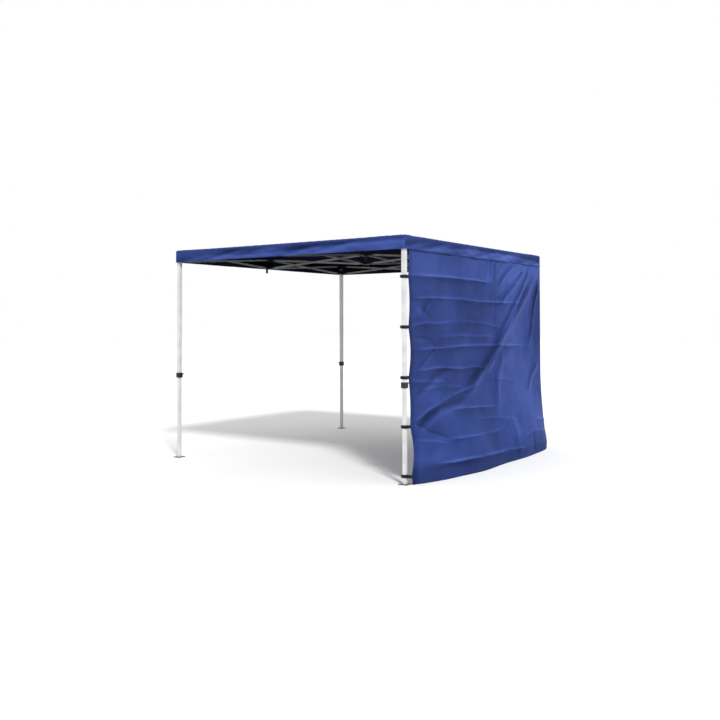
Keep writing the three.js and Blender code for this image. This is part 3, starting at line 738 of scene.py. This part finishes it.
def creases(y, z):
    """The creases' total depth at a point of the wall, and the light and shade painted along them there."""
    total, tone = 0.0, 0.0
    wander = 0.010 * soft_noise(y, z, 3.1, 9.2) + 0.005 * soft_noise(y, z, 9, 2.2)
    faint = 0.85 + 0.9 * noise.noise(Vector((y * 2.3, z * 5.0, 6.6)))
    for path, strength in CRISP:
        away, at = nearest(path, y, z)
        away += wander
        # the steep flank of a crease is above it, and its long flank below
        if -3 * CREASE_LONG < away < 4 * CREASE_STEEP:
            ends = 0.25 + 0.75 * smooth(at * 7) * smooth((1 - at) * 7)
            steep = hump(away, 0, CREASE_STEEP) if away > 0 else math.exp(away / CREASE_LONG)
            # a painted highlight along the crease's upper flank, and painted shade in a band below it
            pale = hump(away, 0.006, 0.009)
            deep = math.exp((away + 0.004) / 0.045) if away < -0.004 else 0.0
            total += CREASE_DEEP * strength * ends * steep
            tone += strength * ends * faint * (0.50 * pale - 0.42 * deep)
    for path, depth, width, shade in BROAD:
        away, at = nearest(path, y, z)
        away += 2.2 * wander
        if abs(away) < 3 * width:
            swell = smooth(at * 6) * smooth((1 - at) * 4) * hump(away, 0, width)
            total += depth * swell
            # painted shade on a swell above its ridge, and a painted highlight below it
            tone -= 1.5 * shade * (away / width) * swell
    return total, tone


def wall_edge(z):
    """How far the front edge is drawn back between its straps."""
    marks = [WALL_FOOT - 0.1, *STRAP_MIDDLES, WALL_TOP + 0.05]
    for low, high, deep in zip(marks, marks[1:], SCALLOPS):
        if low <= z <= high:
            return deep * wave((z - low) / (high - low) / 2)
    return 0.0


WIDE, TALL = WALL_BACK - WALL_FRONT, WALL_TOP - WALL_FOOT
SPREAD, SPREAD_HIGH, SPREAD_EDGE = 0.26, 0.95, 0.075
SPREAD_FRONT, SPREAD_BACK = 1.1, 0.73


def wall_spread(across, z):
    """How far the foot of the wall stands out on the ground: most at its middle, little at the legs."""
    bow = 1.0
    for share_off, reach in ((across, SPREAD_FRONT), (1 - across, SPREAD_BACK)):
        way = share_off * WIDE + SPREAD_EDGE
        bow *= math.sin(math.pi / 2 * min(1, way / reach)) ** 0.75
    return SPREAD * bow * smooth((SPREAD_HIGH - z) / SPREAD_HIGH) ** 1.3


# Light and shade painted on the cloth: paler where it bulges towards the light, and deeper where shade
# falls, as under the valance, at its foot and in the hollow on its left: how much, then how it fades in
# along the wall's share of width, and then up, each by where that starts and over how far. A fade over less
# than nothing is towards lower values.
SHADES = [
    (-0.16, (), [(1.90, -0.03)]),
    (0.46, [(0.50, 0.25)], [(0.1, 0.2)]),
    (-0.50, [(0.88, 0.07)], [(0.9, 0.5), (2.06, -0.15)]),
    (-0.30, [(0.026, -0.012)], ()),
    (0.32, [(0.085, -0.02)], [(1.49, 0.03), (1.67, -0.02)]),
    (0.30, [(0.57, -0.03)], [(1.885, 0.02)]),
    (0.30, [(0.20, -0.1)], [(0.42, -0.06), (0.17, 0.03)]),
    (-0.16, [(0.93, 0.05)], ()),
]


def wall_point(across, up, lift):
    """A point of the wall by its shares of the width and of the height, lifted off the cloth's middle, and
    the cloth's tone there."""
    z = WALL_FOOT + up * TALL
    y = WALL_FRONT + across * WIDE
    y += wall_edge(z) * smooth(1 - across / 0.30) * (1 - 0.15 * across)
    edges = smooth(across / 0.08) * smooth((1 - across) / 0.09)
    ends = smooth((1 - up) / 0.08) * (0.45 + 0.55 * smooth(up / 0.1))
    drape = 0.5 + 0.3 * wave(across * 2.2 + up * 0.9) + 0.2 * wave(across * 5.1 - up * 1.7, 1)
    x = WALL_X - 0.011 * edges * ends * drape
    # where the foot spreads out, its back edge is drawn forwards and its front edge is slack
    out = wall_spread(across, z)
    x += out * (1 + 0.03 * edges * wave(across * 3.4, 0.4))
    y -= 0.030 * smooth((0.8 - z) / 0.8) * smooth((across - 0.7) / 0.3)
    y -= 0.030 * smooth((0.35 - z) / 0.35) * smooth(1 - across / 0.3)
    soft = 0.006 * soft_noise(y, z, 1.9, 7.7) + 0.0022 * soft_noise(y, z, 6, 1.3)
    deep, tone = creases(y, z)
    x += (deep + soft) * smooth(across / 0.03) * smooth((1 - across) / 0.03) * smooth((1 - up) / 0.03)
    for amount, fades_across, fades_up in SHADES:
        for at, fades in ((across, fades_across), (z, fades_up)):
            for edge, reach in fades:
                amount *= smooth((at - edge) / reach)
        tone += amount
    # the shaded foot's upper edge slants down towards the back
    tone -= 0.25 * smooth((0.15 - 0.05 * across - z) / 0.02)
    tone += 0.22 * soft_noise(y, z, 2.7, 4.4) + 0.12 * noise.noise(Vector((y * 8, z * 11, 5.4)))
    return (x + lift, y, z), limited(tone - 0.04)


wall_navy = navy_cloth("navy_wall_cloth", (0.018, 0.033, 0.134), (0.024, 0.044, 0.168), 0.6)


def wall_patch(name, span, rise, columns, rows, lift=0.0):
    """A part of the wall's surface, as a sheet of its own that lies over the main one."""
    made, tones = zip(*(
        wall_point(
            span[0] + (span[1] - span[0]) * i / columns, rise[0] + (rise[1] - rise[0]) * j / rows, lift
        )
        for j in range(rows + 1) for i in range(columns + 1)
    ))
    squares = grid(columns, rows)
    return tone_by(new_piece(name, made, squares, wall_navy, flat(made, squares, 1)), tones)


side_wall = thicken(wall_patch("side_wall_cloth", (0, 1), (0, 1), 160, 290), CLOTH)
SIDE_HEM, FOOT_HEM, TOP_HEM, SEAM_AT, SEAM_WIDE = 0.026, 0.034, 0.030, 0.595, 0.014
OVER = CLOTH / 2 + 0.0003
side, foot, top, seam_half = SIDE_HEM / WIDE, FOOT_HEM / TALL, 1 - TOP_HEM / TALL, SEAM_WIDE / 2 / WIDE
strips = {
    "hem_front": ((0, side), (0, 1), 3, 290),
    "hem_back": ((1 - side, 1), (0, 1), 3, 290),
    "hem_foot": ((side, 1 - side), (0, foot), 160, 5),
    "hem_top": ((side, 1 - side), (top, 1), 160, 4),
    "seam": ((SEAM_AT - seam_half, SEAM_AT + seam_half), (foot, top), 2, 280),
}
wall_pieces = [side_wall] + [
    thicken(wall_patch(f"side_wall_{name}", *strip, OVER), 0.0009, 1) for name, strip in strips.items()
]
LIFT, SEWN_IN, SEAM_STITCH = OVER + 0.0014, 0.005, 0.0042 / WIDE
fine = [k / 260 for k in range(261)]
inset = (SIDE_HEM - SEWN_IN) / WIDE
upright = [inset, 1 - inset, SEAM_AT - SEAM_STITCH, SEAM_AT + SEAM_STITCH, 0.004 / WIDE]
level = [(FOOT_HEM - SEWN_IN) / TALL, 1 - (TOP_HEM - SEWN_IN) / TALL, SEWN_IN / TALL]
lines = [[wall_point(at, up, LIFT)[0] for up in fine] for at in upright]
lines += [[wall_point(at, up, LIFT)[0] for at in fine] for up in level]
wall_pieces.append(stitched("side_wall_stitches", lines))


# Ten straps of black webbing, with hook and loop ends, hold the wall to the two legs of its side. Each
# is sewn to the wall's inner face, goes once round the square leg and closes on itself, with its free
# end standing off a little.
STRAP_TALL, STRAP_THICK = 0.030, 0.0016
webbing = finish_of("black_webbing", (0.012, 0.012, 0.014), 0.8, Specular_IOR_Level=0.15)
grain = add_node(webbing, "ShaderNodeTexCoord")
ribs = add_node(
    webbing, "ShaderNodeTexWave", [("Vector", grain.outputs["Object"])],
    bands_direction="Z", Scale=150, Distortion=1.0, Detail=2,
)
bumped(webbing, ribs.outputs["Fac"], 0.6, 0.0006)
mottled(webbing, grain.outputs["Object"], 40, (0.006, 0.006, 0.007), (0.013, 0.013, 0.015))


TURN_STEPS = 4


def rounded_path(corners, radius):
    """A path through corners in plan, with each turn rounded."""
    path = [corners[0]]
    for before, here, after in zip(*([Vector(v) for v in corners[k:]] for k in range(3))):
        a, c = here - (here - before).normalized() * radius, here + (after - here).normalized() * radius
        for t in (k / TURN_STEPS for k in range(TURN_STEPS + 1)):
            path.append(tuple(a * (1 - t) ** 2 + here * 2 * t * (1 - t) + c * t * t))
    return [*path, corners[-1]]


def ribbon(path, middle, tall, made, quads):
    """Adds an upright band of webbing along a path to a list of points and faces."""
    start = len(made)
    for x, y, left_x, left_y in sideways(path):
        for off, z in ((-1, -1), (-1, 1), (1, 1), (1, -1)):
            off *= STRAP_THICK / 2
            made.append((x + left_x * off, y + left_y * off, middle + z * tall / 2))
    for k in range(len(path) - 1):
        a = start + 4 * k
        quads += [(a + s, a + 4 + s, a + 4 + (s + 1) % 4, a + (s + 1) % 4) for s in range(4)]
    quads += [(start, start + 1, start + 2, start + 3)]
    end = start + 4 * (len(path) - 1)
    quads += [(end + 3, end + 2, end + 1, end)]


def repair(piece):
    """Makes a mesh's faces point outwards."""
    shape = bmesh.new()
    shape.from_mesh(piece.data)
    bmesh.ops.remove_doubles(shape, verts=shape.verts, dist=1e-6)
    bmesh.ops.recalc_face_normals(shape, faces=shape.faces)
    shape.to_mesh(piece.data)
    shape.free()
    return piece


SHARP = math.radians(30)


def soften(piece, width):
    edge = piece.modifiers.new("soft_edges", "BEVEL")
    edge.width, edge.segments, edge.limit_method, edge.angle_limit = width, 2, "ANGLE", SHARP
    return piece


LOCK_LOW = 0.888
FOOT_PLATE_TOP = 0.005


def inner_part(z):
    """How much a height on the wall follows the inner legs: fully at the foot plates, none at the locks."""
    return limited((LOCK_LOW - z) / (LOCK_LOW - FOOT_PLATE_TOP), 0.0)


def right_legs(co):
    """A wall point's parts: between the two legs of its side, and down each from its tube to its foot."""
    back, slid = (1 + share(co.y)) / 2, inner_part(co.z)
    return {
        "leg_front_right": (1 - back) * (1 - slid), "inner_leg_front_right": (1 - back) * slid,
        "leg_back_right": back * (1 - slid), "inner_leg_back_right": back * slid,
    }


# the slider's part of the strap over the lock, at its lower and its upper edge: at the end of the fold
# the slider presses this strap down on to the lock's collar
PRESSED_STRAP, PRESSED_LOW, PRESSED_HIGH = STRAP_MIDDLES[2], 0.0205, 0.0364


def strap_shares(co):
    """A strap keeps its shape and moves as its lower edge does, but for the one that the slider meets."""
    middle = min(STRAP_MIDDLES, key=lambda z: abs(z - co.z))
    slid = inner_part(middle - STRAP_TALL / 2)
    pressed = 0.0
    if middle == PRESSED_STRAP:
        pressed = PRESSED_LOW + (PRESSED_HIGH - PRESSED_LOW) * ((co.z - middle) / STRAP_TALL + 0.5)
    corner = "back_right" if co.y > 0 else "front_right"
    return {f"leg_{corner}": 1 - slid - pressed, f"inner_leg_{corner}": slid, f"slider_{corner}": pressed}


LEG_BOTTOM, OUTER_HALF, INNER_HALF = 0.8763, 0.019, 0.016
STRAP_TURN, STRAP_OFF_LEG = 0.0030, 0.0006
INWARD = -(CLOTH + STRAP_THICK) / 2 - 0.0004
# where each strap is sewn on, it lies along the cloth; in front it then goes over the leg's face
for leg, leg_y, sewn_at in (("front", -LEG_AXIS, (0.0130, 0.0020)), ("back", LEG_AXIS, (0.9785,))):
    made, quads = [], []
    for middle in STRAP_MIDDLES:
        half = (OUTER_HALF if middle > LEG_BOTTOM else INNER_HALF) + STRAP_OFF_LEG + STRAP_THICK / 2
        inner, outer, near, far = LEG_AXIS - half, LEG_AXIS + half, leg_y - half, leg_y + half
        corners = [wall_point(at, (middle - WALL_FOOT) / TALL, INWARD)[0][:2] for at in sewn_at]
        if leg == "front":
            corners.append((WALL_X + INWARD, leg_y))
        corners += [
            (outer + STRAP_THICK * 1.4, near + 0.004), (outer - 0.001, near), (inner, near), (inner, far),
            (outer, far), (outer, near + 0.006),
        ]
        ribbon(rounded_path(corners, STRAP_TURN), middle, STRAP_TALL, made, quads)
        # the free end lies over the strap on the face away from the wall and stands off past its corner
        out = near - STRAP_THICK - 0.0003
        tail = [
            (outer - 0.012, out), (inner + 0.004, out), (inner - 0.004, out - 0.002),
            (inner - 0.009, out - 0.0045),
        ]
        ribbon(rounded_path(tail, STRAP_TURN), middle + 0.001, STRAP_TALL - 0.003, made, quads)
    straps = soften(repair(new_piece(f"wall_straps_{leg}", made, quads, webbing)), 0.0005)
    soft_part(straps, strap_shares, "side_wall", f"leg_{leg}_right")
    wall_pieces.append(straps)

for piece in wall_pieces[:-2]:
    soft_part(piece, right_legs, "side_wall", "mid_bracket_upper_right")


# The frame's rigid pieces keep the shapes they have in the model. Each is copied, its flat faces are
# joined again, and its edges are rounded off as drawn tube, moulded nylon and pressed steel have them.
def painted(name, dark, light, roughness, grain_scale, grain_depth, **sockets):
    """A rigid finish: small shifts of colour, a fine grain, and scuffs that change the gloss."""
    made = finish_of(name, light, roughness, **sockets)
    at = add_node(made, "ShaderNodeTexCoord").outputs["Object"]
    mottled(made, at, 9, dark, light, 5)
    scuffs = add_node(made, "ShaderNodeTexNoise", [("Vector", at)], Scale=38, Detail=8, Roughness=0.7)
    gloss = add_node(
        made, "ShaderNodeMapRange", [("Value", scuffs.outputs["Fac"])],
        From_Min=0.35, From_Max=0.7, To_Min=roughness - 0.06, To_Max=roughness + 0.16,
    )
    link(made, gloss.outputs["Result"], "Roughness")
    grains = add_node(made, "ShaderNodeTexNoise", [("Vector", at)], Scale=grain_scale, Detail=3)
    bumped(made, grains.outputs["Fac"], 0.3, grain_depth)
    return made


powder_white = painted(
    "white_powder_coat", (0.42, 0.425, 0.43), (0.50, 0.505, 0.51), 0.34, 420, 0.0003, Coat_Weight=0.15
)
bar_grey = painted(
    "grey_bar_coat", (0.17, 0.175, 0.17), (0.24, 0.245, 0.24), 0.42, 420, 0.0003, Metallic=0.15
)
nylon_black = painted(
    "black_nylon", (0.008, 0.008, 0.009), (0.018, 0.018, 0.020), 0.48, 650, 0.0004, Specular_IOR_Level=0.25
)
plate_steel = painted(
    "dark_plate_steel", (0.035, 0.036, 0.038), (0.075, 0.077, 0.08), 0.46, 260, 0.0004, Metallic=0.6
)
zinc = painted("zinc_steel", (0.42, 0.42, 0.41), (0.60, 0.60, 0.60), 0.28, 300, 0.0002, Metallic=1.0)


def finished(node, width, slot, *materials, choose=None):
    """Makes a rigid piece of a node's own shape, with rounded edges and one material or more."""
    mesh = frame["nodes"][node].data.copy()
    mesh.name = f"{node}_piece"
    mesh.materials.clear()
    for material in materials:
        mesh.materials.append(material)
    shape = bmesh.new()
    shape.from_mesh(mesh)
    bmesh.ops.remove_doubles(shape, verts=shape.verts, dist=1e-5)
    for face in shape.faces:
        face.material_index = choose(face.calc_center_median() - LEGS_AT) if choose else 0
        face.smooth = True
    bmesh.ops.dissolve_limit(
        shape, angle_limit=math.radians(1), verts=shape.verts, edges=shape.edges,
        delimit={"MATERIAL"},
    )
    for edge in shape.edges:
        edge.smooth = len(edge.link_faces) != 2 or edge.calc_face_angle(0) < SHARP
    shape.to_mesh(mesh)
    shape.free()
    piece = soften(placed(mesh.name, mesh), width)
    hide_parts(node)
    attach(piece, frame["nodes"][node]["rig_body"])


# Each leg is a square steel tube with a white powder coat and a black nylon bracket pushed on its top.
# A thinner tube slides out of it and stands on a welded foot plate of dark steel.
SIDES = ("front", "right", "back", "left")
CORNERS = ("front_left", "front_right", "back_right", "back_left")
BRACKET_BOTTOM, PLATE_TOP = 2.1976, 0.0051


def off_tube(at):
    return max(abs(abs(at.x) - LEG_AXIS), abs(abs(at.y) - LEG_AXIS)) > OUTER_HALF + 0.0001


def bracket_part(at):
    return int(off_tube(at) or at.z > BRACKET_BOTTOM)


def foot_part(at):
    return int(off_tube(at) or at.z < PLATE_TOP)


for corner in CORNERS:
    finished(f"outer_leg_{corner}", 0.0011, "white_tube", powder_white, nylon_black, choose=bracket_part)
    finished(f"inner_leg_{corner}", 0.0009, "white_tube", powder_white, plate_steel, choose=foot_part)
    # The slider is a nylon sleeve with two forked arms. A spring pin with a grey knob locks it to the leg.
    finished(f"slider_{corner}", 0.0012, "black_plastic", nylon_black)
    finished(f"slider_pin_{corner}", 0.0008, "grey_pin", zinc)
    # The leg's height lock is a nylon collar at the outer tube's foot, with a lever that is pressed.
    finished(f"lock_collar_{corner}", 0.0022, "black_plastic", nylon_black)
    finished(f"lock_lever_{corner}", 0.0013, "black_plastic", nylon_black)

# The truss is made of flat hollow bars, riveted in crossed pairs, with nylon brackets where they meet.
for k, side in enumerate(SIDES):
    for corner in (CORNERS[k], CORNERS[(k + 1) % 4]):
        for height in ("high", "low"):
            finished(f"side_bar_{height}_{side}_at_{corner}", 0.0010, "grey_bar", bar_grey)
    for height in ("high", "low"):
        finished(f"roof_bar_{height}_{side}", 0.0010, "grey_bar", bar_grey)
    for height in ("upper", "lower"):
        finished(f"mid_bracket_{height}_{side}", 0.0012, "black_plastic", nylon_black)
for height in ("upper", "lower"):
    finished(f"hub_{height}", 0.0012, "black_plastic", nylon_black)


# Pan head bolts of zinc plated steel hold each bar's end in its bracket, with a domed nut on the far
# side. They are laid by one rule, on the two cheeks of every forked arm.
BAR_OFFSET, CHEEK_OUT = 0.0055, 0.0095
UPPER, LOWER = 2.234, 2.139
CORNER_ARM, MID_ARM, MID_INNER_ARM, HUB_ARM = 0.080, 0.070, 0.060, 0.090


def bolt_tree(material):
    """Geometry nodes that set a bolt head on each point, facing the way the point is told."""
    tree, given, aim, laid = bead_tree(
        "bolt_heads", {"Radius": 0.0052, "Height": 0.0022}, (14, 6), 1,
        ("Radius", "Radius", "Height"), material,
    )
    facing = tree.nodes.new("GeometryNodeInputNamedAttribute")
    facing.data_type = "FLOAT_VECTOR"
    facing.inputs["Name"].default_value = "facing"
    tree.links.new(given.outputs["Geometry"], laid.inputs["Points"])
    tree.links.new(facing.outputs["Attribute"], aim.inputs["Vector"])
    return tree


bolt_heads = bolt_tree(zinc)


def bolts(name, body, pivots):
    """The bolt heads of one body. A pivot is its place and the way its pin runs."""
    spots, ways = [], []
    for place, way in pivots:
        for sign in (-1, 1):
            spots.append(Vector(place) + Vector(way) * sign * CHEEK_OUT)
            ways += [v * sign for v in way]
    mesh = new_mesh(name, spots, [], [])
    mesh.attributes.new("facing", "FLOAT_VECTOR", "POINT").data.foreach_set("vector", ways)
    piece = run_tree(placed(name, mesh), bolt_heads)
    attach(piece, body)


def quarter_turned(pivots, k):
    turned_by = Matrix.Rotation(k * math.pi / 2, 3, "Z")
    return [(turned_by @ Vector(place), turned_by @ Vector(way)) for place, way in pivots]


ALONG, INWARDS = (0, 1, 0), (1, 0, 0)
for k, (side, corner) in enumerate(zip(SIDES, CORNERS)):
    for body, off, z in ((f"leg_{corner}", -BAR_OFFSET, UPPER), (f"slider_{corner}", BAR_OFFSET, LOWER)):
        pivots = [
            ((-LEG_AXIS + CORNER_ARM, -LEG_AXIS + off, z), ALONG),
            ((-LEG_AXIS + off, -LEG_AXIS + CORNER_ARM, z), INWARDS),
        ]
        bolts(f"bolts_{body}", body, quarter_turned(pivots, k))
    for height, off, z in (("upper", BAR_OFFSET, UPPER), ("lower", -BAR_OFFSET, LOWER)):
        pivots = [((x, -LEG_AXIS + off, z), ALONG) for x in (-MID_ARM, MID_ARM)]
        pivots.append(((-off, -LEG_AXIS + MID_INNER_ARM, z), INWARDS))
        bolts(f"bolts_mid_{height}_{side}", f"mid_bracket_{height}_{side}", quarter_turned(pivots, k))
for body, off, z in (("roof_hub", BAR_OFFSET, UPPER), ("lower_hub", -BAR_OFFSET, LOWER)):
    pivots = [p for k in range(4) for p in quarter_turned([((HUB_ARM, off, z), ALONG)], k)]
    bolts(f"bolts_{body}", body, pivots)

# A short doubled end of black webbing hangs from the low bracket in the middle of the left side and
# shows under the far valance. It is laid flat as a band and turned upright.
TAB_LONG, TAB_WIDE, TAB_HALF, TAB_AT = 0.054, 0.030, 0.0022, -0.050
tab_top = LOWER - 0.0103
made, quads = [], []
tab_low = tab_top - TAB_LONG
hem = [(-TAB_HALF, tab_top), (-TAB_HALF, tab_low), (TAB_HALF, tab_low), (TAB_HALF, tab_top)]
ribbon(rounded_path(hem, TAB_HALF - 0.0001), 0.0, TAB_WIDE, made, quads)
made = [(wide - LEG_AXIS - BAR_OFFSET, TAB_AT + y, z) for y, z, wide in made]
tab = soften(repair(new_piece("hanging_tab", made, quads, webbing)), 0.0004)
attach(tab, "mid_bracket_lower_left")
